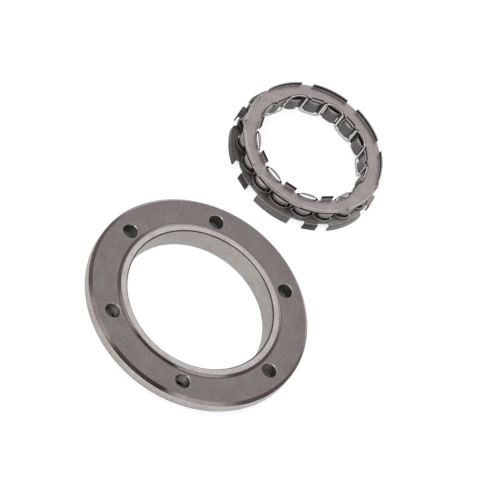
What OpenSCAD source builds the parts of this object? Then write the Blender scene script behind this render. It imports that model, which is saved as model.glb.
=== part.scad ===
// Starter clutch: a flanged outer race and, taken out and laid beside it, the sprag cage that runs
// in its bore. Both stand on one surface. The origin is the centre of the bore at the flange's
// front face, +Z is the clutch axis and +Y points from the race to the cage.

/* [Outer race] */
// Outside diameter of the flange
flange_d = 98; // [96:0.5:106]
// Thickness of the flange
flange_t = 6.4; // [5:0.1:8]
// Diameter of the hardened bore that the sprags grip
race_d = 64.7; // [63.5:0.1:65.5]
// Diameter of the hub behind the flange
hub_d = 73; // [71:0.1:74]
// Depth of the hub's rear end behind the flange's front face
hub_l = 11; // [10:0.1:13]
// Height of the collar round the bore
collar_h = 0.8; // [0.7:0.05:1.5]
// Width of the collar's flat top, from the bore's wall outwards
collar_w = 2.95; // [2:0.05:3.4]
// Width of the collar's sloping side
collar_slope = 1.3; // [0.5:0.1:1.8]
// Chamfer of the flange's front edge
flange_chamfer = 1.4; // [0.5:0.1:2]
// Chamfer of the flange's and the hub's rear edges
rear_chamfer = 1; // [0.3:0.1:1.2]
// Chamfer at both ends of the bore
bore_chamfer = 0.6; // [0.3:0.05:0.65]

/* [Bolt holes] */
// Diameter of the bolt circle
bolt_pcd = 81.6; // [81:0.1:86]
// Diameter of a bolt hole
bolt_hole_d = 6.4; // [5:0.1:6.6]
// Edge break at both ends of a bolt hole
hole_break = 0.3; // [0.1:0.05:0.4]

/* [Sprags] */
// Diameter of the inner race that the sprags grip
inner_race_d = 49; // [48.6:0.1:49.4]
// Length of a sprag along the clutch axis
sprag_l = 7.8; // [6.5:0.1:8]
// Width of a sprag's head, under the outer race
head_w = 7.2; // [6.4:0.1:7.4]
// Width of a sprag's foot, over the inner race
foot_w = 6.2; // [5.8:0.1:6.4]
// Width of a sprag's waist
waist_w = 4.6; // [4.2:0.1:4.8]
// Radius of the hollows that form the waist
flank_r = 1.7; // [1.5:0.05:1.8]
// Radius of the cam on a sprag's head
head_cam_r = 5.2; // [5:0.05:5.4]
// Radius of the cam on a sprag's foot
foot_cam_r = 4.2; // [4:0.05:4.4]
// Sideways shift of each cam's centre, which makes the sprag wedge
cam_shift = 0.4; // [0.2:0.05:0.6]
// Chamfer at the ends of a sprag's head
head_chamfer = 0.9; // [0.3:0.1:1.2]
// Chamfer at the ends of a sprag's foot
foot_chamfer = 0.5; // [0.2:0.1:0.8]

/* [Inner cage] */
// Sheet thickness of the inner cage
inner_sheet = 0.5; // [0.4:0.05:0.6]
// Gap between the front plate's rim and the bore
plate_gap = 0.45; // [0.3:0.05:0.7]
// Gap between the front plate's inner edge and the inner race
plate_clear = 1.2; // [1.1:0.05:1.5]
// Height of the lips that stand up round the plate's rim
lip_h = 2; // [1:0.1:3]
// Angle that one lip spans
lip_deg = 30; // [20:1:34]
// Width of the plate's inward tabs
tab_w = 5.4; // [4.5:0.1:5.8]
// Reach of the inward tabs past the plate's inner edge
tab_reach = 1.3; // [1:0.1:1.5]
// Height of the lips at the ends of the inward tabs
tab_lip_h = 1.7; // [1:0.1:2.2]
// Radius of the relief notches beside the inward tabs
notch_r = 0.5; // [0.3:0.05:0.6]
// Width of the posts between the sprags' feet
inner_post_w = 2.4; // [1.8:0.1:2.6]
// Where those posts stand, as a share of the way from the inner race to the bore
inner_post_at = 0.305; // [0.28:0.005:0.32]
// Axial height of the ring that closes the posts behind the sprags
inner_ring_h = 0.8; // [0.6:0.1:1]

/* [Outer cage] */
// Sheet thickness of the outer cage
outer_sheet = 0.5; // [0.4:0.05:0.6]
// Depth of the outer cage's feet behind the front plate's face
cage_l = 10.8; // [10.7:0.1:13]
// Height of the skirts that the tabs turn down into
skirt_h = 4.2; // [3:0.1:4.4]
// Height of the lobed wall above the tabs
wall_h = 2.3; // [1:0.1:3]
// Gap between a sprag's head and the lobed wall
pocket_gap = 0.4; // [0.35:0.01:0.45]
// Reach of the wide tabs past the bore's radius
tab_stand = 2.15; // [1.9:0.05:3]
// Angle that a wide tab spans at its root
wide_tab_deg = 35.5; // [30:0.5:37]
// Slant of a wide tab's ends
wide_tab_slant = 18; // [0:1:30]
// Width of a narrow tab
narrow_tab_w = 6.2; // [5:0.1:8]
// How far a narrow tab's skirt stands back from the wide ones
narrow_tab_inset = 0.2; // [0:0.05:0.5]
// Width of the posts between the sprags' heads
outer_post_w = 2.8; // [2.2:0.1:2.9]
// Where those posts stand, as a share of the way from the bore to the inner race
outer_post_at = 0.26; // [0.25:0.005:0.28]
// How far the front ring's rim stands back from the front plate's
front_rim_inset = 0.9; // [0.6:0.05:1]
// How far the front ring reaches inwards past the posts
front_ring_in = 0.4; // [0.2:0.05:0.6]

/* [Ribbon spring] */
// Width of the ribbon
ribbon_w = 0.95; // [0.7:0.05:1.05]
// Thickness of the ribbon
ribbon_t = 0.3; // [0.2:0.05:0.35]
// Height of the crowns above the front plate
crown_h = 1.5; // [1.3:0.05:1.8]
// Lean of the crowns outwards over the plate
crown_tilt = 70; // [60:1:75]
// How far the crowns stand inside the plate's inner edge
crown_inset = 0.5; // [0.45:0.05:0.6]
// Gap between the inner race and the middle of the ribbon's legs
leg_gap = 0.8; // [0.75:0.05:0.85]
// Gap between the inner race and the middle of the bends behind the sprags
bend_gap = 0.1; // [0.1:0.05:0.3]
// How far the straight legs run on past the sprags' front ends
leg_over = 0.4; // [0.2:0.05:0.6]
// How far the straight legs stop short of the sprags' rear ends
leg_short = 1.2; // [0.9:0.05:1.5]

/* [Clearances and placing] */
// Axial gap between the front ends of the two cages
end_gap = 0.15; // [0.1:0.01:0.2]
// Axial gap in front of the sprags
front_gap = 0.5; // [0.3:0.05:0.7]
// Axial gap behind the sprags, to the inner cage's ring and the ribbon
rear_gap = 0.3; // [0.25:0.05:0.4]
// Distance from the race's axis to the cage's axis, as they lie side by side
cage_y = 102; // [92:1:130]

/* [Hidden] */
$fn = 96;
sprag_n = 18;
bolt_n = 6;
wide_tab_n = 6;

// Angles round the axis, counted from +X, at which the parts lie
bolt_phase = -10;
sprag_phase = 94.2;
lip_phase = 104.9;
wide_tab_phase = 32.8;
narrow_tab_phase = 3.6;

pitch = 360 / sprag_n;
lip_n = sprag_n / 2;

flange_r = flange_d / 2;
race_r = race_d / 2;
hub_r = hub_d / 2;
collar_r = race_r + collar_w;
foot_r = inner_race_d / 2;
race_gap = race_r - foot_r;
tabs_r = race_r + tab_stand;

// The hub's wall carries three equal parts at the least: two edge breaks and a flat end
hub_edge = min(rear_chamfer, (hub_r - race_r) / 3);
bore_edge = min(bore_chamfer, (hub_r - race_r) / 3);

// Outline of a sprag, radius first: centres of the cams and of the waist's flank arcs
head_c = race_r - head_cam_r;
foot_c = foot_r + foot_cam_r;
waist_c = (race_r + foot_r) / 2;
flank_y = waist_w / 2 + flank_r;

// The shifted cams turn the heads and the feet a little, and the cages follow each
head_turn = -atan(cam_shift / head_c);
foot_turn = atan(cam_shift / foot_c);
head_post_phase = sprag_phase + pitch / 2 + head_turn;
foot_post_phase = sprag_phase + pitch / 2 + foot_turn;
plate_tab_phase = sprag_phase + pitch + foot_turn;

// Radii of the two cages' cylindrical stretches and of the front plate
outer_post_out = race_r - outer_post_at * race_gap;
outer_post_in = outer_post_out - outer_sheet;
pivot_r = outer_post_out;
inner_post_in = foot_r + inner_post_at * race_gap;
inner_post_out = inner_post_in + inner_sheet;
plate_out = race_r - plate_gap;
plate_in = foot_r + plate_clear;

// Heights in the cage's own frame, where the front plate's face is z = 0
outer_ring_top = -inner_sheet - end_gap;
sprag_top = outer_ring_top - outer_sheet - front_gap;
sprag_bottom = sprag_top - sprag_l;
tab_top = skirt_h - cage_l;
wall_top = tab_top + wall_h;
inner_ring_top = sprag_bottom - rear_gap;

// Run of the ribbon: upright legs, crowns over the plate's inner edge and bends behind the sprags
leg_r = foot_r + leg_gap;
leg_top = sprag_top + leg_over;
leg_bottom = sprag_bottom + leg_short;
crown_r = plate_in - crown_inset;
bend_r = foot_r + bend_gap;
bend_z = sprag_bottom - rear_gap - ribbon_w / 2;
arch_steps = 12;
leg_steps = 3;

eps = 0.01;
far = 3;

function sprag_name(i) = str(i < 10 ? "sprag_0" : "sprag_", i);

// Copies the children n times round the axis
module around(n, phase = 0) {
  for (i = [0:n - 1]) rotate(phase + i * 360 / n) children();
}

// A flat wedge of the given angle, centred on +X
module wedge(angle, reach) {
  polygon([
    [0, 0],
    [reach, -reach * tan(angle / 2)],
    [reach, reach * tan(angle / 2)]
  ]);
}

// A flat ring
module ring(r_out, r_in) {
  difference() {
    circle(r_out);
    circle(r_in);
  }
}

// Flange, hub and collar are turned as one piece
module race_profile() {
  polygon([
    [race_r, bore_edge - hub_l],
    [race_r + bore_edge, -hub_l],
    [hub_r - hub_edge, -hub_l],
    [hub_r, hub_edge - hub_l],
    [hub_r, -flange_t],
    [flange_r - rear_chamfer, -flange_t],
    [flange_r, rear_chamfer - flange_t],
    [flange_r, -flange_chamfer],
    [flange_r - flange_chamfer, 0],
    [collar_r + collar_slope, 0],
    [collar_r, collar_h],
    [race_r + bore_chamfer, collar_h],
    [race_r, collar_h - bore_chamfer]
  ]);
}

module bolt_hole() {
  hole_r = bolt_hole_d / 2;
  translate([bolt_pcd / 2, 0, -flange_t]) {
    translate([0, 0, -1]) cylinder(h = flange_t + 2, r = hole_r);
    translate([0, 0, flange_t - hole_break])
      cylinder(h = 2 * hole_break, r1 = hole_r, r2 = hole_r + 2 * hole_break);
    translate([0, 0, -hole_break])
      cylinder(h = 2 * hole_break, r1 = hole_r + 2 * hole_break, r2 = hole_r);
  }
}

module outer_race() {
  color("#8d8583") difference() {
    rotate_extrude() race_profile();
    around(bolt_n, bolt_phase) bolt_hole();
  }
}

// Head and foot carry cams of their own, shifted opposite ways, and the flanks are hollowed
module sprag_outline() {
  difference() {
    union() {
      intersection() {
        translate([head_c, -cam_shift]) circle(head_cam_r);
        translate([waist_c, -cam_shift - head_w / 2]) square([2 * head_cam_r, head_w]);
      }
      intersection() {
        translate([foot_c, cam_shift]) circle(foot_cam_r);
        translate([waist_c + eps - 2 * foot_cam_r, cam_shift - foot_w / 2])
          square([2 * foot_cam_r, foot_w]);
      }
    }
    for (side = [-1, 1]) translate([waist_c, side * flank_y]) circle(flank_r);
  }
}

// Revolved blank whose chamfered corners break the ends of the sprags' cams
module sprag_blank() {
  rotate_extrude() polygon([
    [foot_r + foot_chamfer, sprag_bottom],
    [race_r - head_chamfer, sprag_bottom],
    [race_r + far, sprag_bottom + head_chamfer + far],
    [race_r + far, sprag_top - head_chamfer - far],
    [race_r - head_chamfer, sprag_top],
    [foot_r + foot_chamfer, sprag_top],
    [foot_r - far, sprag_top - foot_chamfer - far],
    [foot_r - far, sprag_bottom + foot_chamfer + far]
  ]);
}

module sprag(i) {
  color("#6a6767") on_table() rotate(sprag_phase + (i - 1) * pitch) intersection() {
    translate([0, 0, sprag_bottom]) linear_extrude(sprag_l) sprag_outline();
    sprag_blank();
  }
}

// The cage lies beside the race, on the same surface
module on_table() {
  translate([0, cage_y, cage_l - hub_l]) children();
}

// Section of sheet that runs outwards from its root and is bent up at its reach
module bent_section(root, reach, height, sheet) {
  bend = 1.5 * sheet;
  translate([root, -sheet]) square([reach - bend - root, sheet]);
  translate([reach - sheet, bend - sheet]) square([sheet, height - bend + sheet]);
  translate([reach - bend, bend - sheet]) intersection() {
    ring(bend, bend - sheet);
    translate([0, -bend]) square(bend);
  }
}

// Extrudes a section given in radius and height across the given width
module across(width) {
  rotate([90, 0, 0]) translate([0, 0, -width / 2]) linear_extrude(width) children();
}

// Front plate: a washer whose rim is cut back where the lips turn up, notched for the ribbon
module plate_outline() {
  difference() {
    ring(plate_out, plate_in);
    around(sprag_n, foot_post_phase) translate([plate_in, 0]) circle(notch_r);
    around(lip_n, lip_phase) difference() {
      wedge(lip_deg, 2 * race_r);
      circle(plate_out - 1.5 * inner_sheet);
    }
  }
}

// One lip of the plate's rim
module rim_lip() {
  rotate(-lip_deg / 2) rotate_extrude(angle = lip_deg)
    bent_section(plate_out - 3 * inner_sheet, plate_out, lip_h, inner_sheet);
}

// One inward tab of the plate, with its end turned up
module inward_tab() {
  across(tab_w) mirror([1, 0])
    bent_section(-plate_in - inner_sheet, tab_reach - plate_in, tab_lip_h, inner_sheet);
}

module inner_cage() {
  post_z = inner_ring_top - inner_ring_h;
  color("#9d9391") on_table() {
    translate([0, 0, -inner_sheet]) linear_extrude(inner_sheet) plate_outline();
    around(lip_n, lip_phase) rim_lip();
    around(lip_n, plate_tab_phase) inward_tab();
    translate([0, 0, post_z]) linear_extrude(-inner_sheet - post_z) intersection() {
      ring(inner_post_out, inner_post_in);
      around(sprag_n, foot_post_phase) translate([0, -inner_post_w / 2])
        square([race_r, inner_post_w]);
    }
    translate([0, 0, post_z]) linear_extrude(inner_ring_h) ring(inner_post_out, inner_post_in);
  }
}

// Outline of the pockets round the sprags' heads, grown by the given width
module pockets(grow) {
  around(sprag_n, sprag_phase) translate([head_c, -cam_shift]) circle(head_cam_r + pocket_gap + grow);
  circle(outer_post_in);
}

// Section of a tab, from its root out to the bend and down the skirt
module tab_section(r_out) {
  translate([0, -outer_sheet]) mirror([0, 1])
    bent_section(outer_post_in, r_out, skirt_h - outer_sheet, outer_sheet);
}

// Wide tabs have a round rim, and their ends slant together outwards
module wide_tab() {
  x = outer_post_out * cos(wide_tab_deg / 2);
  y = outer_post_out * sin(wide_tab_deg / 2) + (tabs_r - outer_post_out) * tan(wide_tab_slant) / 2;
  run = tabs_r - x;
  intersection() {
    rotate(-wide_tab_deg / 2 - 2) rotate_extrude(angle = wide_tab_deg + 4) tab_section(tabs_r);
    translate([0, 0, -skirt_h - 1]) linear_extrude(skirt_h + 2) polygon([
      [x - far, -y - far * tan(wide_tab_slant)],
      [x + run, -y + run * tan(wide_tab_slant)],
      [x + run, y - run * tan(wide_tab_slant)],
      [x - far, y + far * tan(wide_tab_slant)]
    ]);
  }
}

// Narrow tabs are cut and bent straight
module narrow_tab() {
  across(narrow_tab_w) tab_section(tabs_r - narrow_tab_inset);
}

module outer_cage() {
  color("#8f8785") on_table() {
    translate([0, 0, outer_ring_top - outer_sheet]) linear_extrude(outer_sheet)
      ring(plate_out - front_rim_inset, outer_post_in - front_ring_in);
    translate([0, 0, tab_top - outer_sheet]) linear_extrude(outer_ring_top - tab_top) intersection() {
      ring(outer_post_out, outer_post_in);
      around(sprag_n, head_post_phase) translate([0, -outer_post_w / 2])
        square([race_r, outer_post_w]);
    }
    translate([0, 0, tab_top - outer_sheet]) linear_extrude(wall_h + outer_sheet) difference() {
      pockets(outer_sheet);
      pockets(0);
    }
    difference() {
      translate([0, 0, tab_top]) {
        around(wide_tab_n, wide_tab_phase) wide_tab();
        around(wide_tab_n, narrow_tab_phase) narrow_tab();
      }
      translate([0, 0, tab_top - 2 * outer_sheet]) linear_extrude(3 * outer_sheet) pockets(0);
    }
  }
}

// One turn of the ribbon is pitch * 2: arch over a sprag, leg, bend behind the next sprag, leg.
// Each station is [angle, height, share of the crown's flare, share of the bend's inset].
function arch(n) = [for (i = [0:n - 1]) 180 * i / n];
function turn() = concat(
  [for (a = arch(arch_steps))
    let (s = pow(sin(a), 0.8))
    [-pitch / 2 * cos(a), leg_top + (crown_h - leg_top) * s, s, 0]],
  [for (i = [0:leg_steps - 1])
    [pitch / 2, leg_top + (leg_bottom - leg_top) * i / leg_steps, 0, 0]],
  [for (a = arch(arch_steps))
    let (s = pow(sin(a), 0.7))
    [pitch - pitch / 2 * cos(a), leg_bottom + (bend_z - leg_bottom) * s, 0, s]],
  [for (i = [0:leg_steps - 1])
    [3 * pitch / 2, leg_bottom + (leg_top - leg_bottom) * i / leg_steps, 0, 0]]
);

module ribbon_spring() {
  base = turn();
  steps = len(base);
  count = steps * sprag_n / 2;
  route = [for (k = [0:sprag_n / 2 - 1], p = base) [p[0] + 2 * pitch * k, p[1], p[2], p[3]]];
  spots = [for (p = route)
    let (r = leg_r + (crown_r - leg_r) * p[2] + (bend_r - leg_r) * p[3], a = sprag_phase + foot_turn + p[0])
    [r * cos(a), r * sin(a), p[1]]];
  corners = [for (i = [0:count - 1])
    let (
      ahead = spots[(i + 1) % count],
      behind = spots[(i + count - 1) % count],
      along = (ahead - behind) / norm(ahead - behind),
      a = sprag_phase + foot_turn + route[i][0],
      tilt = crown_tilt * route[i][2],
      face = [cos(tilt) * cos(a), cos(tilt) * sin(a), -sin(tilt)],
      side = cross(along, face) / norm(cross(along, face)),
      up = cross(side, along)
    )
    each [
      spots[i] + side * ribbon_w / 2 + up * ribbon_t / 2,
      spots[i] - side * ribbon_w / 2 + up * ribbon_t / 2,
      spots[i] - side * ribbon_w / 2 - up * ribbon_t / 2,
      spots[i] + side * ribbon_w / 2 - up * ribbon_t / 2
    ]];
  skin = [for (i = [0:count - 1], j = [0:3])
    let (
      next = (i + 1) % count,
      k = (j + 1) % 4
    )
    each [
      [4 * i + j, 4 * i + k, 4 * next + k],
      [4 * i + j, 4 * next + k, 4 * next + j]
    ]];
  color("#c9c5c3") on_table() polyhedron(corners, skin);
}

outer_race();
outer_cage();
inner_cage();
ribbon_spring();
for (i = [1:sprag_n]) sprag(i);
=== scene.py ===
import math
from types import SimpleNamespace

import bmesh
import bpy
from mathutils import Matrix, Quaternion, Vector


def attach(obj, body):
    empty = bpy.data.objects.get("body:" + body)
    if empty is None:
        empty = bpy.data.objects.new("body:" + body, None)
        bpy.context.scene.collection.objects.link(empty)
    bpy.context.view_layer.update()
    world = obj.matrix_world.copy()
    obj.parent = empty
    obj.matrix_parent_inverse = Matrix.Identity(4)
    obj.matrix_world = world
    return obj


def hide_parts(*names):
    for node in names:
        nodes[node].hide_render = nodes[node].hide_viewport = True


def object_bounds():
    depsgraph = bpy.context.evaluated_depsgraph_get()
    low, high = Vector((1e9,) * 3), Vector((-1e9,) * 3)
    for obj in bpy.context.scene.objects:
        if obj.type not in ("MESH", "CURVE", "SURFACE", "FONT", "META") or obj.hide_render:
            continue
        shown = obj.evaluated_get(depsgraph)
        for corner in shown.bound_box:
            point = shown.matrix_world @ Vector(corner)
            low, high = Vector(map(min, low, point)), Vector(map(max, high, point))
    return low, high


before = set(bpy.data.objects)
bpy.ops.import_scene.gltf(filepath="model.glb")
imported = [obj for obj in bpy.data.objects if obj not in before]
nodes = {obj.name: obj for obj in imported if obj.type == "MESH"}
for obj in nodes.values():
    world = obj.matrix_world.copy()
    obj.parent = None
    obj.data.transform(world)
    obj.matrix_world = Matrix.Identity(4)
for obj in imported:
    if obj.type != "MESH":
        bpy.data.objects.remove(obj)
cad_low, cad_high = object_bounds()

# Outer race
# One forged ring of bearing steel, turned, drilled, hardened and ground. Hardening leaves the flange matt
# and brownish; collar, rim and bore are ground bright, and slope and chamfer keep their turned lines.
MM = 0.001
DEGREE = math.radians(1)
race_r = 32.35
bore_chamfer = 0.6
collar_r = 35.3
collar_h = 0.8
collar_foot = 36.6
flange_r = 49.0
flange_t = 6.4
front_chamfer = 1.4
rear_chamfer = 1.0
hub_r = 36.5
hub_l = 11.0
bolt_circle = 40.8
bolt_r = 3.2
bolt_phase = -10.0
bolt_n = 6
hole_chamfer = 0.3
race_edge = 0.12
sharp_angle = 35
ring_steps = 288
hole_steps = 64


def linear(code):
    """sRGB hex code as a linear colour."""
    parts = [int(code[i:i + 2], 16) / 255 for i in (1, 3, 5)]
    return [p / 12.92 if p <= 0.04045 else ((p + 0.055) / 1.055) ** 2.4 for p in parts] + [1.0]


def finish(name):
    """An empty node material and its tree."""
    made = bpy.data.materials.new(name)
    made.use_nodes = True
    made.node_tree.nodes.clear()
    return made, made.node_tree


def add(tree, kind, links=(), **settings):
    """Adds a node; links is a row of (input, value or socket)."""
    made = tree.nodes.new(kind)
    for name, value in settings.items():
        setattr(made, name, value)
    for socket, source in links:
        if isinstance(source, bpy.types.NodeSocket):
            tree.links.new(source, made.inputs[socket])
        else:
            made.inputs[socket].default_value = source
    return made


def around(tree, centre=(0, 0, 0)):
    """The place, its parts from a centre in mm, the distance from its upright axis, and the normal."""
    place = add(tree, "ShaderNodeTexCoord").outputs
    away = add(tree, "ShaderNodeVectorMath", [
        (0, place["Object"]), (1, [c * MM for c in centre])], operation="SUBTRACT")
    part = add(tree, "ShaderNodeSeparateXYZ", [(0, away.outputs[0])]).outputs
    level = add(tree, "ShaderNodeCombineXYZ", [("X", part["X"]), ("Y", part["Y"])]).outputs[0]
    radius = add(tree, "ShaderNodeVectorMath", [(0, level)], operation="LENGTH").outputs["Value"]
    return SimpleNamespace(place=place["Object"], normal=place["Normal"], x=part["X"], y=part["Y"],
                           z=part["Z"], level=level, radius=radius)


def reckon(tree, operation, *values, **settings):
    """The result of a Math node."""
    return add(tree, "ShaderNodeMath", enumerate(values), operation=operation, **settings).outputs[0]


def spread(tree, source, low, high, to_low=0.0, to_high=1.0, **settings):
    """A value carried over from one range to another and held at its ends."""
    values = enumerate((source, low, high, to_low, to_high))
    return add(tree, "ShaderNodeMapRange", values, **settings).outputs[0]


def ramp(tree, source, stops):
    """Colours along a value from 0 to 1; stops is a list of (place, sRGB code or linear colour)."""
    made = add(tree, "ShaderNodeValToRGB", [(0, source)])
    marks = made.color_ramp.elements
    while len(marks) < len(stops):
        marks.new(0.5)
    for mark, (at, colour) in zip(marks, stops):
        mark.position = at
        mark.color = linear(colour) if isinstance(colour, str) else colour
    return made.outputs[0]


def bands(tree, source, low, high, stops, unit=MM):
    """Colours along a length in mm or another unit; stops is a list of (place, sRGB code)."""
    share = spread(tree, source, low * unit, high * unit)
    return ramp(tree, share, [((at - low) / (high - low), code) for at, code in stops])


def mixed(tree, share, first, second):
    """The first colour turned into the second by a share from 0 to 1."""
    links = [(0, share), (6, first), (7, second)]
    return add(tree, "ShaderNodeMix", links, data_type="RGBA").outputs[2]


def tinted(tree, colour, tint):
    """A colour multiplied by another one."""
    return add(tree, "ShaderNodeVectorMath", [(0, colour), (1, tint)], operation="MULTIPLY").outputs[0]


def scaled(tree, colour, factor):
    """A colour or a direction made longer or shorter."""
    links = [(0, colour), ("Scale", factor)]
    return add(tree, "ShaderNodeVectorMath", links, operation="SCALE").outputs[0]


def noise(tree, place, scale, detail, roughness=0.5):
    """Noise at a scale per metre: 1000 gives spots about 1 mm across."""
    links = [("Vector", place), ("Scale", scale), ("Detail", detail), ("Roughness", roughness)]
    return add(tree, "ShaderNodeTexNoise", links).outputs[0]


def metal(tree, colour, roughness, height=None, strength=0.0):
    """The bare metal surface of a material, with a relief of up to 0.04 mm where a height is given."""
    links = [("Base Color", colour), ("Metallic", 1.0), ("Roughness", roughness)]
    if height is not None:
        bump = add(tree, "ShaderNodeBump", [
            ("Strength", strength), ("Distance", 0.04 * MM), ("Height", height)])
        links.append(("Normal", bump.outputs[0]))
    surface = add(tree, "ShaderNodeBsdfPrincipled", links)
    add(tree, "ShaderNodeOutputMaterial", [(0, surface.outputs[0])])


ground_steel, tree = finish("ground_bearing_steel")
at = around(tree)
azimuth = reckon(tree, "ARCTAN2", at.y, at.x)
# From the bore out over the collar and its slope to the flange's face
front = bands(tree, at.radius, race_r - 1.35, flange_r + 1, [
    (race_r - 1.35, "#a5a29f"), (race_r + 0.15, "#a5a29f"), (race_r + 0.23, "#3a3432"),
    (race_r + 0.55, "#3a3432"), (race_r + 0.7, "#c2bdbb"), (collar_r - 0.1, "#bbb6b4"),
    (collar_r + 0.1, "#6b6462"), (collar_foot - 0.1, "#4a4341"), (collar_foot + 0.15, "#857e7d"),
    (flange_r, "#817a79")])
# Painted reflections: the turned lines of slope and chamfer flash dark and light by turns round the ring
painted_chamfer_reflections = bands(tree, azimuth, -180, 180, [
    (-172, "#5b524f"), (-146, "#5b524f"), (-136, "#8d8583"), (-118, "#857d7b"), (-109, "#38322f"),
    (-79, "#38322f"), (-70, "#a39c99"), (-48, "#9b9491"), (-36, "#4f4745"), (10, "#564e4c"),
    (35, "#aaa4a2"), (145, "#aaa4a2"), (172, "#5b524f")], DEGREE)
chamfer_r = flange_r - front_chamfer
sloped = bands(tree, at.radius, collar_r - 0.3, flange_r + 1, [
    (collar_r + 0.1, "#000000"), (collar_r + 0.3, "#ffffff"), (collar_foot - 0.4, "#ffffff"),
    (collar_foot - 0.15, "#000000"), (chamfer_r - 0.1, "#000000"), (chamfer_r + 0.1, "#ffffff")])
front = mixed(tree, sloped, front, painted_chamfer_reflections)
# Painted shade turns the bore darker towards the east
bore_painted_shade = bands(tree, azimuth, -180, 180, [
    (-60, "#d2cfcc"), (0, "#d2cfcc"), (45, "#f4f3f1"), (80, "#ffffff"), (150, "#f4f3f1")], DEGREE)
in_bore = reckon(tree, "LESS_THAN", at.radius, (race_r + 0.15) * MM)
front = tinted(tree, front, mixed(tree, in_bore, linear("#ffffff"), bore_painted_shade))
# Up the rim, from the rear chamfer to the front one, darker towards its foot as painted shade
rim = bands(tree, at.z, -flange_t - 0.2, 0, [
    (-flange_t, "#5f5b59"), (0.9 - flange_t, "#77726f"), (1.1 - flange_t, "#6e6967"),
    (1.3 - flange_t, "#6e6967"), (1.4 - flange_t, "#a9a5a2"), (-front_chamfer - 0.2, "#b6b2af"),
    (-front_chamfer - 0.05, "#c0bcba")])
# Painted shade dulls the rim's west side
rim_west_painted_shade = bands(tree, azimuth, -180, 180, [
    (-176, "#b9b2b1"), (-155, "#f4f2f1"), (-40, "#ffffff"), (100, "#ffffff"), (176, "#b9b2b1")], DEGREE)
on_rim = reckon(tree, "GREATER_THAN", at.radius, (flange_r - 0.05) * MM)
base = mixed(tree, on_rim, front, tinted(tree, rim, rim_west_painted_shade))
# Temper clouds about 7 mm across, brownish to greenish grey, and grain coarsened to 0.8 mm to show
cloud = noise(tree, at.place, 140.0, 5.0, 0.6)
tint = ramp(tree, cloud, [(0.36, (0.91, 0.86, 0.855, 1)), (0.64, (1.05, 1.06, 1.06, 1))])
grain = noise(tree, at.place, 1250.0, 2.0)
fleck = spread(tree, grain, 0.25, 0.75, 0.82, 1.18)
# Turned lines, drawn 0.4 mm apart where the real ones are finer than 0.1 mm
lines = reckon(tree, "SINE", reckon(tree, "MULTIPLY", at.radius, 2 * math.pi / (0.4 * MM)))
height = reckon(tree, "MULTIPLY_ADD", lines, 0.12, grain)
rough = spread(tree, cloud, 0.3, 0.7, 0.34, 0.46)
metal(tree, scaled(tree, tinted(tree, base, tint), fleck), rough, height, 0.15)

# Inside the bolt holes the drill's marks run round the walls, a ring about every 0.5 mm
drilled_steel, tree = finish("drilled_steel_painted_shade")
at = around(tree)
lines = reckon(tree, "SINE", reckon(tree, "MULTIPLY", at.z, 2 * math.pi / (0.5 * MM)))
soot = noise(tree, at.place, 700.0, 3.0)
tone = ramp(tree, reckon(tree, "MULTIPLY_ADD", lines, 0.2, soot), [(0.3, "#7d7876"), (0.8, "#c2bcb9")])
# Painted light: the north walls, facing south, take a painted reflection and the others painted shade
facing = add(tree, "ShaderNodeSeparateXYZ", [(0, at.normal)]).outputs["Y"]
metal(tree, scaled(tree, tone, spread(tree, facing, 0.1, -1.0, 0.2, 1.0)), 0.5)

# The holes' countersunk edges carry a painted highlight
cut_edge, tree = finish("countersunk_edge_painted_highlight")
chatter = noise(tree, add(tree, "ShaderNodeTexCoord").outputs["Object"], 900.0, 2.0)
metal(tree, ramp(tree, chatter, [(0.35, "#7b7573"), (0.65, "#b3adab")]), 0.28)


def blank(name, bm):
    """A bare object of a bmesh, to be worked on."""
    bmesh.ops.recalc_face_normals(bm, faces=bm.faces)
    mesh = bpy.data.meshes.new(name)
    bm.to_mesh(mesh)
    bm.free()
    piece = bpy.data.objects.new(name, mesh)
    bpy.context.scene.collection.objects.link(piece)
    return piece


def worked(piece, *modifiers):
    """Adds (kind, settings) modifiers and gives back the mesh that they make."""
    for kind, settings in modifiers:
        step = piece.modifiers.new(kind.lower(), kind)
        for name, value in settings.items():
            setattr(step, name, value)
    mesh = bpy.data.meshes.new_from_object(piece.evaluated_get(bpy.context.evaluated_depsgraph_get()))
    bpy.data.objects.remove(piece)
    return mesh


def eased(width, angle):
    """A bevel modifier of that width in mm for the edges sharper than the angle in degrees."""
    return "BEVEL", {
        "width": width * MM, "segments": 2, "limit_method": "ANGLE", "angle_limit": angle * DEGREE}


def shade(mesh, angle):
    """Smooth along curves, flat on the level faces and sharp over the given angle."""
    for face in mesh.polygons:
        face.use_smooth = abs(face.normal.z) < 0.999
    mesh.set_sharp_from_angle(angle=angle * DEGREE)


def placed(name, mesh, steels, body, replaced):
    """Links a finished mesh, gives it its steels and lets it ride on its body."""
    piece = bpy.data.objects.new(name, mesh)
    bpy.context.scene.collection.objects.link(piece)
    mesh.materials.clear()
    for steel in steels:
        mesh.materials.append(steel)
    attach(piece, body)
    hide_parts(replaced)


def spun(bm, profile, steps, x=0.0, y=0.0):
    """Rows of corners, one for each (radius, height) in mm, round an upright axis."""
    turns = [2 * math.pi * i / steps for i in range(steps)]
    return [[bm.verts.new(((x + r * math.cos(a)) * MM, (y + r * math.sin(a)) * MM, z * MM)) for a in turns]
            for r, z in profile]


def skinned(bm, rows):
    """Faces between each row of corners and the next."""
    for row, other in zip(rows, rows[1:]):
        for i in range(len(row)):
            j = (i + 1) % len(row)
            bm.faces.new((row[i], row[j], other[j], other[i]))


turned = bmesh.new()
rows = spun(turned, [
    (race_r, bore_chamfer - hub_l), (race_r + bore_chamfer, -hub_l), (hub_r - rear_chamfer, -hub_l),
    (hub_r, rear_chamfer - hub_l), (hub_r, -flange_t), (flange_r - rear_chamfer, -flange_t),
    (flange_r, rear_chamfer - flange_t), (flange_r, -front_chamfer), (chamfer_r, 0), (collar_foot, 0),
    (collar_r, collar_h), (race_r + bore_chamfer, collar_h), (race_r, collar_h - bore_chamfer),
], ring_steps)
skinned(turned, rows + rows[:1])
ring = blank("race_ring", turned)
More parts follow.
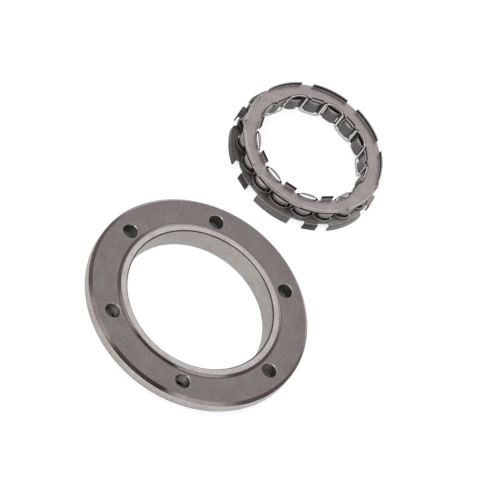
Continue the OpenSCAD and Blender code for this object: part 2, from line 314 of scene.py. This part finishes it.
# The drills reach this far past the flange's faces
past = 0.6
wide_r = bolt_r + hole_chamfer + past
hole_turns = [math.radians(bolt_phase + 360 / bolt_n * k) for k in range(bolt_n)]
holes = [(bolt_circle * math.cos(a), bolt_circle * math.sin(a)) for a in hole_turns]
cutters = bmesh.new()
for x, y in holes:
    rows = spun(cutters, [
        (wide_r, past), (bolt_r, -hole_chamfer), (bolt_r, hole_chamfer - flange_t),
        (wide_r, -flange_t - past)], hole_steps, x, y)
    skinned(cutters, rows)
    cutters.faces.new(rows[0])
    cutters.faces.new(rows[-1])
drills = blank("bolt_drills", cutters)
cut = {"operation": "DIFFERENCE", "solver": "EXACT", "object": drills}
ring_mesh = worked(ring, ("BOOLEAN", cut), eased(race_edge, 30))
bpy.data.objects.remove(drills)
shade(ring_mesh, sharp_angle)
race_steels = [ground_steel, drilled_steel, cut_edge]
placed("race_ring", ring_mesh, race_steels, "outer_race", "outer_race")
# The front countersinks take the painted highlight; all else inside the holes takes the drilled steel and
# its painted light
for face in ring_mesh.polygons:
    x, y, z = face.center / MM
    near = min(math.hypot(x - u, y - v) for u, v in holes)
    if near < bolt_r + hole_chamfer + 0.2 and abs(face.normal.z) < 0.99:
        face.material_index = 2 if z > -hole_chamfer - 0.02 else 1

# Outer cage
# Blanked and drawn from half-millimetre steel strip. Its lobed wall stands round the sprags' heads, and
# twelve tabs are bent down into skirts; its walls carry painted shade and its cut edges painted highlights.
cage_centre = (0, 102.0, -0.2)
sprag_phase = 94.2
sprag_pitch = 20.0
# Each head's cam: how far out and how far sideways its middle lies, and its radius
head_cam = (27.15, -0.4, 5.2)
wall_gap = 0.4
tab_phase = 3.6
tab_pitch = 30.0
narrow_tab_half = 6.5
skirt_foot = -10.8
tab_front = -6.6
wall_top = -4.3
sheet_edge = 0.07


def stamped(name, steel):
    """A pressed cage's merged copy with its edges broken, standing for the node."""
    bm = bmesh.new()
    bm.from_mesh(nodes[name].data)
    bmesh.ops.remove_doubles(bm, verts=bm.verts, dist=0.001 * MM)
    bmesh.ops.dissolve_limit(bm, angle_limit=0.5 * DEGREE, verts=bm.verts, edges=bm.edges)
    # The edge breaks narrow to a quarter of the room that the sheet's corners leave
    weights = bm.edges.layers.float.new("bevel_weight_edge")
    for edge in bm.edges:
        if edge.calc_face_angle() > sharp_angle * DEGREE:
            room = [other.calc_length() for corner in edge.verts for other in corner.link_edges]
            room += [face.calc_area() / edge.calc_length() for face in edge.link_faces]
            edge[weights] = min(1, 0.25 * min(room) / (sheet_edge * MM))
    mesh = worked(blank(name + "_sheet", bm), ("BEVEL", {
        "width": sheet_edge * MM, "segments": 2, "limit_method": "WEIGHT", "use_clamp_overlap": False}))
    shade(mesh, sharp_angle)
    placed(name + "_sheet", mesh, [steel], name, name)


def strip_steel(tree, place, colour):
    """Cold-rolled strip: grain coarsened to 0.4 mm to show, and faint clouds 5 mm across."""
    grain = noise(tree, place, 2500.0, 2.0)
    cloud = noise(tree, place, 200.0, 3.0)
    fleck = spread(tree, reckon(tree, "MULTIPLY_ADD", cloud, 0.5, grain), 0.5, 1.0, 0.78, 1.2)
    metal(tree, scaled(tree, colour, fleck), 0.4, grain, 0.12)


drawn_steel, tree = finish("drawn_steel_strip")
at = around(tree, cage_centre)
azimuth = reckon(tree, "ARCTAN2", at.y, at.x)
upward = add(tree, "ShaderNodeSeparateXYZ", [(0, at.normal)]).outputs["Z"]
# Walls by height: the skirts, the lobed wall in painted shade and its sheared top edge in a painted
# highlight
walls = bands(tree, at.z, -11, 0, [
    (skirt_foot, "#4c4745"), (skirt_foot + 0.5, "#605b59"), (tab_front - 1.2, "#6d6866"),
    (tab_front - 0.2, "#6d6866"), (wall_top - 0.3, "#5d5856"), (wall_top - 0.05, "#8d8785")])
# The narrow tabs' flat skirts are made darker than the curved ones
from_tab = reckon(tree, "SUBTRACT", azimuth, tab_phase * DEGREE)
from_tab = reckon(tree, "PINGPONG", from_tab, tab_pitch * DEGREE)
on_narrow = reckon(tree, "LESS_THAN", from_tab, narrow_tab_half * DEGREE)
on_skirt = reckon(tree, "LESS_THAN", at.z, (tab_front - 0.3) * MM)
walls = mixed(tree, reckon(tree, "MULTIPLY", on_narrow, on_skirt), walls, linear("#3b3736"))
# Level faces by height: the tabs, the wall's sheared edge and the front ring
levels = bands(tree, at.z, -11, 0, [
    (skirt_foot, "#58534f"), (tab_front - 0.3, "#a09996"), (tab_front + 0.3, "#a09996"),
    (wall_top - 0.2, "#b3aca9"), (wall_top + 0.2, "#b3aca9"), (-1.3, "#5b5654")])
# Painted light: faces turned upward take the lighter level tones, upright faces the darker wall tones
lit_levels_shaded_walls = mixed(tree, spread(tree, upward, 0.75, 0.98), walls, levels)
# Painted shade stands black in the gap between the heads' cams and the wall, and on the wall's inner edge
lobe = reckon(tree, "SUBTRACT", azimuth, sprag_phase * DEGREE)
lobe = reckon(tree, "WRAP", lobe, sprag_pitch / 2 * DEGREE, -sprag_pitch / 2 * DEGREE)
turned_back = add(tree, "ShaderNodeVectorRotate", [
    ("Vector", (1, 0, 0)), ("Angle", lobe)], rotation_type="Z_AXIS").outputs[0]
cam_middle = (head_cam[0] * MM, head_cam[1] * MM, 0)
from_cam = add(tree, "ShaderNodeVectorMath", [
    (0, scaled(tree, turned_back, at.radius)), (1, cam_middle)], operation="DISTANCE").outputs["Value"]
gap_shade_r = head_cam[2] + wall_gap + 0.2
in_gap = spread(tree, from_cam, (gap_shade_r + 0.05) * MM, (gap_shade_r - 0.05) * MM)
above_tabs = reckon(tree, "GREATER_THAN", at.z, (tab_front + 0.6) * MM)
gap_painted_shade = mixed(tree, reckon(tree, "MULTIPLY", in_gap, above_tabs), lit_levels_shaded_walls, linear("#1c1918"))
# Painted shade darkens the cage's west side
west_painted_shade = bands(tree, azimuth, -180, 180, [
    (-178, "#9a9898"), (-173, "#6f6d6d"), (-162, "#6f6d6d"), (-156, "#a8a6a6"), (-128, "#b2b0b0"),
    (-115, "#f0f0f0"), (-95, "#ffffff"), (120, "#ffffff"), (178, "#9a9898")], DEGREE)
strip_steel(tree, at.place, tinted(tree, gap_painted_shade, west_painted_shade))
stamped("outer_cage", drawn_steel)

# Sprags
# Eighteen wedging pieces, drawn to this outline from bearing steel, cut off, tumbled and hardened to a
# dark grey. Head and foot carry ground cams, and the broken corners at their ends catch the light.
sprag_n = 18
foot_r = 24.5
foot_cam = (28.7, 0.4, 4.2)
head_half = 3.6
foot_half = 3.1
# The flanks' hollows: how far out and how far sideways their middles lie, and their radius
hollow = (28.425, 4.0, 1.7)
sprag_top = -1.65
sprag_bottom = -9.45
foot_break = 0.5
head_break = 0.9
sprag_edge = 0.1


def sprag_outline():
    """Foot, one hollow flank, head and the other flank, as (radius, sideways) in mm."""
    points = []

    def arc(out, side, r, first, last, steps):
        for i in range(steps + 1):
            t = math.radians(first + (last - first) * i / steps)
            points.append((out + r * math.cos(t), side + r * math.sin(t)))

    def lean(edge):
        return math.degrees(math.asin((hollow[1] - edge) / hollow[2]))

    out, side, r = hollow
    foot = math.degrees(math.asin(foot_half / foot_cam[2]))
    head = math.degrees(math.asin(head_half / head_cam[2]))
    arc(*foot_cam, 180 + foot, 180 - foot, 16)
    arc(out, side, r, 180 + lean(foot_half + foot_cam[1]), 360 - lean(head_half + head_cam[1]), 14)
    arc(*head_cam, head, -head, 20)
    arc(out, -side, r, lean(head_half - head_cam[1]), 180 - lean(foot_half - foot_cam[1]), 14)
    return points


def sprag_blank(turn):
    """The outline drawn along the axis, its ends clipped by the cones that break the corners."""
    bm = bmesh.new()
    a = math.radians(turn)
    rows = []
    for z in (sprag_bottom, sprag_bottom + foot_break, sprag_bottom + head_break,
              sprag_top - head_break, sprag_top - foot_break, sprag_top):
        deep = min(z - sprag_bottom, sprag_top - z)
        low = foot_r + max(foot_break - deep, 0)
        high = race_r - max(head_break - deep, 0)
        row = []
        for x, y in sprag_outline():
            r = math.hypot(x, y)
            k = min(max(r, low), high) / r
            row.append(bm.verts.new(((cage_centre[0] + k * (x * math.cos(a) - y * math.sin(a))) * MM,
                                     (cage_centre[1] + k * (x * math.sin(a) + y * math.cos(a))) * MM,
                                     (cage_centre[2] + z) * MM)))
        rows.append(row)
    skinned(bm, rows)
    bm.faces.new(rows[0])
    bm.faces.new(rows[-1])
    return bm


hardened, tree = finish("hardened_sprag_steel")
at = around(tree, cage_centre)
upward = add(tree, "ShaderNodeSeparateXYZ", [(0, at.normal)]).outputs["Z"]
# Painted highlights make the broken corners and the ends brighter than the cams and flanks
highlit_ends = bands(tree, at.z, -10, -1, [
    (sprag_bottom + 0.05, "#6e6a69"), (sprag_bottom + 0.55, "#646160"), (sprag_top - 1.45, "#636060"),
    (sprag_top - 0.85, "#827d7c"), (sprag_top - 0.05, "#a39c9a")])
# The feet's front ends lie in the plate's shade, painted dark
shaded = bands(tree, at.radius, 24, 29, [(26.4, "#88827f"), (27.4, "#ffffff")])
shaded = mixed(tree, spread(tree, upward, 0.8, 0.97), linear("#ffffff"), shaded)
# Scale spots about 0.7 mm across
scale = noise(tree, at.place, 1400.0, 4.0)
fleck = spread(tree, scale, 0.3, 0.7, 0.88, 1.1)
metal(tree, scaled(tree, tinted(tree, highlit_ends, shaded), fleck), 0.42, scale, 0.1)
for i in range(sprag_n):
    name = "sprag_%02d" % (i + 1)
    mesh = worked(blank(name + "_cam", sprag_blank(sprag_phase + sprag_pitch * i)), eased(sprag_edge, 25))
    shade(mesh, 30)
    placed(name + "_cam", mesh, [hardened], name, name)

# Inner cage
# Pressed from the same strip: the flat front plate keeps the rolled grain, its rim lips and inward tabs
# are bent up with painted light outside the bend and painted shade inside; its posts run down between the
# feet.
plate_middle = 28.8
rolled_steel, tree = finish("rolled_steel_strip")
at = around(tree, cage_centre)
upward = add(tree, "ShaderNodeSeparateXYZ", [(0, at.normal)]).outputs["Z"]
ray = add(tree, "ShaderNodeVectorMath", [(0, at.level)], operation="NORMALIZE").outputs[0]
outward = add(tree, "ShaderNodeVectorMath", [
    (0, ray), (1, at.normal)], operation="DOT_PRODUCT").outputs["Value"]
# Which side of the plate's middle a face lies on turns the bend's outside into its inside
beyond = reckon(tree, "GREATER_THAN", at.radius, plate_middle * MM)
bend = reckon(tree, "MULTIPLY", outward, spread(tree, beyond, 0, 1, -1.0, 1.0))
# Painted shade inside the bend, pale on the inward tabs and dark on the rim's lips; painted light outside
# it
bend_inside_shade = mixed(tree, beyond, linear("#8d8785"), linear("#4f4a49"))
bend_painted_light = mixed(tree, spread(tree, bend, -0.8, 0.8), bend_inside_shade, linear("#a09997"))
# Faces turned upward: darker below the plate as painted shade, brightest on the lips' tops as a painted
# highlight
flats = bands(tree, at.z, -11, 2.2, [
    (-10.5, "#6f6a68"), (-1.0, "#6f6a68"), (-0.3, "#a59c9b"), (0.3, "#a59c9b"), (1.5, "#b9b3b1")])
faces = mixed(tree, spread(tree, upward, 0.1, 0.6), bend_painted_light, flats)
# The sheared tops of the inward tabs are dark, and painted shade darkens the bends and posts below the
# plate
sheared = bands(tree, at.radius, 27, 31, [(plate_middle - 0.1, "#4d4846"), (plate_middle + 0.1, "#ffffff")])
sheared = mixed(tree, spread(tree, at.z, 1.0 * MM, 1.3 * MM), linear("#ffffff"), sheared)
under_plate_shade = bands(tree, at.z, -2, 0, [(-1.3, "#4a4645"), (-0.85, "#4a4645"), (-0.3, "#ffffff")])
strip_steel(tree, at.place, tinted(tree, tinted(tree, faces, sheared), under_plate_shade))
stamped("inner_cage", rolled_steel)

# Ribbon spring
# One endless strip of stainless spring steel, bent into a meander: its crowns pass over every second
# sprag, its bends behind the ones between, and its straight legs press the sprags into contact.
leg_r = 25.3
leg_top = -1.25
leg_bottom = -8.25
crown_r = 25.2
crown_h = 1.5
crown_lean = 86
bend_r = 24.6
bend_z = -10.225
strip_w = 1.1
strip_t = 0.3
strip_corner = 0.1
foot_turn = math.degrees(math.atan(foot_cam[1] / foot_cam[0]))

bright_strip, tree = finish("bright_stainless_strip")
at = around(tree)
# Painted shade darkens the strip's slit edges, most of all on the crowns; its flats are bright
across = add(tree, "ShaderNodeAttribute", attribute_name="across").outputs["Fac"]
legs = spread(tree, at.z, -1.5 * MM, 0, 0.62, 1.0)
bends = spread(tree, at.z, -9.8 * MM, -9.0 * MM, 0.5, 1.0)
edge = reckon(tree, "MULTIPLY", reckon(tree, "ABSOLUTE", across), legs)
edge = reckon(tree, "MULTIPLY", edge, bends)
tone = ramp(tree, edge, [(0.3, "#c8c3c1"), (0.62, "#332f2e")])
# Faint stains about 1 mm across, which take some of the polish
stain = noise(tree, at.place, 900.0, 3.0)
fleck = spread(tree, stain, 0.3, 0.7, 0.88, 1.08)
metal(tree, scaled(tree, tone, fleck), spread(tree, stain, 0, 1, 0.18, 0.34))


def meander_turn():
    """One turn, from the middle of a leg to the middle of a leg, as (angle, radius, height, lean)."""
    stations = []
    middle = (leg_top + leg_bottom) / 2
    half = sprag_pitch / 2

    def straight(angle, start, end, first, last, steps):
        for i in range(first, last + 1):
            stations.append((angle, leg_r, start + (end - start) * i / steps, 0))

    def loop(angle, start, r, end, lean, fullness, steps=28):
        for i in range(steps + 1):
            a = math.pi * i / steps
            s = math.sin(a) ** fullness if 0 < i < steps else 0
            stations.append((angle - half * math.cos(a), leg_r + (r - leg_r) * s,
                             start + (end - start) * s, lean * s))

    straight(-half, middle, leg_top, 0, 3, 4)
    loop(0, leg_top, crown_r, crown_h, crown_lean, 0.8)
    straight(half, leg_top, leg_bottom, 1, 7, 8)
    loop(sprag_pitch, leg_bottom, bend_r, bend_z, 0, 0.7)
    straight(3 * half, leg_bottom, middle, 1, 4, 4)
    return stations


spots = []
facings = []
for angle, r, z, lean in meander_turn():
    a = math.radians(sprag_phase + foot_turn + angle)
    tip = math.radians(lean)
    spots.append((r * MM * math.cos(a), r * MM * math.sin(a), z * MM))
    facings += [math.cos(tip) * math.cos(a), math.cos(tip) * math.sin(a), -math.sin(tip)]
wire = bpy.data.meshes.new("meander_turn")
wire.from_pydata(spots, [(i, i + 1) for i in range(len(spots) - 1)], [])
wire.attributes.new("face", "FLOAT_VECTOR", "POINT").data.foreach_set("vector", facings)

# The node group sweeps the strip along one turn and repeats it round the axis
sweep = bpy.data.node_groups.new("endless_meander", "GeometryNodeTree")
sweep.interface.new_socket("Turn", in_out="INPUT", socket_type="NodeSocketGeometry")
inputs = {}
for name, kind, value in (
        ("Turns", "NodeSocketInt", sprag_n // 2),
        ("Strip width", "NodeSocketFloat", strip_w * MM),
        ("Strip thickness", "NodeSocketFloat", strip_t * MM),
        ("Edge radius", "NodeSocketFloat", strip_corner * MM),
        ("Finish", "NodeSocketMaterial", bright_strip)):
    socket = sweep.interface.new_socket(name, in_out="INPUT", socket_type=kind)
    inputs[socket.identifier] = value
sweep.interface.new_socket("Spring", in_out="OUTPUT", socket_type="NodeSocketGeometry")
given = add(sweep, "NodeGroupInput").outputs
line = add(sweep, "GeometryNodeMeshToCurve", [(0, given["Turn"])])
facing = add(sweep, "GeometryNodeInputNamedAttribute", [("Name", "face")], data_type="FLOAT_VECTOR")
aimed = add(sweep, "GeometryNodeSetCurveNormal", [
    ("Curve", line.outputs[0]), ("Normal", facing.outputs[0])], mode="FREE")
section = add(sweep, "GeometryNodeCurvePrimitiveQuadrilateral", [
    ("Width", given["Strip thickness"]), ("Height", given["Strip width"])])
rounded = add(sweep, "GeometryNodeFilletCurve", [
    ("Curve", section.outputs[0]), ("Count", 2), ("Radius", given["Edge radius"])], mode="POLY")
fine = add(sweep, "GeometryNodeSubdivideCurve", [(0, rounded.outputs[0]), (1, 2)])
point = add(sweep, "GeometryNodeInputPosition")
part = add(sweep, "ShaderNodeSeparateXYZ", [(0, point.outputs[0])])
share = reckon(sweep, "DIVIDE", part.outputs["Y"], reckon(sweep, "MULTIPLY", given["Strip width"], 0.5))
marked = add(sweep, "GeometryNodeStoreNamedAttribute", [
    (0, fine.outputs[0]), ("Name", "across"), ("Value", share)])
skin = add(sweep, "GeometryNodeCurveToMesh", [
    ("Curve", aimed.outputs[0]), ("Profile Curve", marked.outputs[0])])
seats = add(sweep, "GeometryNodeMeshLine", [("Count", given["Turns"]), ("Offset", (0, 0, 0))])
number = add(sweep, "GeometryNodeInputIndex")
step = reckon(sweep, "DIVIDE", 2 * math.pi, given["Turns"])
swing = reckon(sweep, "MULTIPLY", number.outputs[0], step)
about = add(sweep, "FunctionNodeAxisAngleToRotation", [("Axis", (0, 0, 1)), ("Angle", swing)])
ranked = add(sweep, "GeometryNodeInstanceOnPoints", [
    ("Points", seats.outputs[0]), ("Instance", skin.outputs[0]), ("Rotation", about.outputs[0])])
real = add(sweep, "GeometryNodeRealizeInstances", [(0, ranked.outputs[0])])
joined = add(sweep, "GeometryNodeMergeByDistance", [(0, real.outputs[0]), ("Distance", 0.02 * MM)])
clad = add(sweep, "GeometryNodeSetMaterial", [(0, joined.outputs[0]), ("Material", given["Finish"])])
add(sweep, "NodeGroupOutput", [(0, clad.outputs[0])])

coil = bpy.data.objects.new("meander_turn", wire)
bpy.context.scene.collection.objects.link(coil)
meander = coil.modifiers.new("meander", "NODES")
meander.node_group = sweep
for identifier, value in inputs.items():
    meander[identifier] = value
spring_mesh = worked(coil)
spring_mesh.transform(Matrix.Translation([c * MM for c in cage_centre]))
outside = bmesh.new()
outside.from_mesh(spring_mesh)
bmesh.ops.recalc_face_normals(outside, faces=outside.faces)
outside.to_mesh(spring_mesh)
outside.free()
shade(spring_mesh, 40)
placed("ribbon_meander", spring_mesh, [bright_strip], "inner_cage", "ribbon_spring")

# Studio
# A white paper floor, one large soft lamp on the camera's side and the photograph's long lens.
shadow_y = 4.0
shadow_inside = 34.0
shadow_full = 45.0
shadow_end = 48.0
paper_half = 3


def seen_directly(tree):
    """1 for the rays of the camera, of mirrors and of glass, 0 for those that light the pieces."""
    path = add(tree, "ShaderNodeLightPath").outputs
    mirrored = reckon(tree, "MAXIMUM", path["Is Camera Ray"], path["Is Glossy Ray"])
    return reckon(tree, "MAXIMUM", mirrored, path["Is Transmission Ray"])


paper_mesh = bpy.data.meshes.new("paper")
corners = [(x * paper_half, y * paper_half, cad_low.z) for x, y in ((-1, -1), (1, -1), (1, 1), (-1, 1))]
paper_mesh.from_pydata(corners, [], [(0, 1, 2, 3)])
paper = bpy.data.objects.new("paper", paper_mesh)
bpy.context.scene.collection.objects.link(paper)
white_paper, tree = finish("white_studio_paper")
# Under the flange's overhang, a little to the far side, the paper carries a painted soft shadow
past_bore = reckon(tree, "GREATER_THAN", around(tree).radius, shadow_inside * MM)
from_middle = around(tree, (0, shadow_y, 0)).radius
under = spread(tree, from_middle, shadow_end * MM, shadow_full * MM, interpolation_type="SMOOTHSTEP")
painted_shadow = reckon(tree, "MULTIPLY", past_bore, under)
paint = add(tree, "ShaderNodeBsdfDiffuse", [(0, mixed(tree, painted_shadow, linear("#e9e9e9"), linear("#5c5a59")))])
lit = reckon(tree, "SUBTRACT", seen_directly(tree), painted_shadow, use_clamp=True)
dim = add(tree, "ShaderNodeEmission", [(0, linear("#ffffff")), (1, 0.05)])
glow = add(tree, "ShaderNodeEmission", [(0, linear("#ffffff")), (1, 0.72)])
lift = add(tree, "ShaderNodeMixShader", [(0, lit), (1, dim.outputs[0]), (2, glow.outputs[0])])
surface = add(tree, "ShaderNodeAddShader", [(0, paint.outputs[0]), (1, lift.outputs[0])])
add(tree, "ShaderNodeOutputMaterial", [(0, surface.outputs[0])])
paper_mesh.materials.append(white_paper)

# What is seen of the room is white, and its light is dimmer
world = bpy.data.worlds.new("studio")
bpy.context.scene.world = world
world.use_nodes = True
tree = world.node_tree
tree.nodes.clear()
dim = add(tree, "ShaderNodeBackground", [(0, linear("#ffffff")), (1, 0.45)])
white = add(tree, "ShaderNodeBackground", [(0, linear("#ffffff")), (1, 1.0)])
room = add(tree, "ShaderNodeMixShader", [
    (0, seen_directly(tree)), (1, dim.outputs[0]), (2, white.outputs[0])])
add(tree, "ShaderNodeOutputWorld", [(0, room.outputs[0])])

lamp = bpy.data.lights.new("softbox", "AREA")
lamp.shape, lamp.size, lamp.energy = "DISK", 0.9, 2.5
softbox = bpy.data.objects.new("softbox", lamp)
softbox.location = (-0.35, -0.75, 0.8)
softbox.rotation_mode = "QUATERNION"
softbox.rotation_quaternion = (Vector((0, 0.05, 0)) - softbox.location).to_track_quat("-Z", "Y")
bpy.context.scene.collection.objects.link(softbox)

lens = bpy.data.cameras.new("camera")
lens.sensor_width, lens.lens = 36.0, 360.0
lens.clip_start, lens.clip_end = 0.1, 20.0
camera = bpy.data.objects.new("camera", lens)
camera.location = (-0.03235, -1.2634, 1.6372)
camera.rotation_mode = "QUATERNION"
camera.rotation_quaternion = Quaternion((0.895682, 0.309492, -0.112981, 0.29867))
bpy.context.scene.collection.objects.link(camera)
bpy.context.scene.camera = camera

bpy.context.scene.view_settings.view_transform = "Standard"
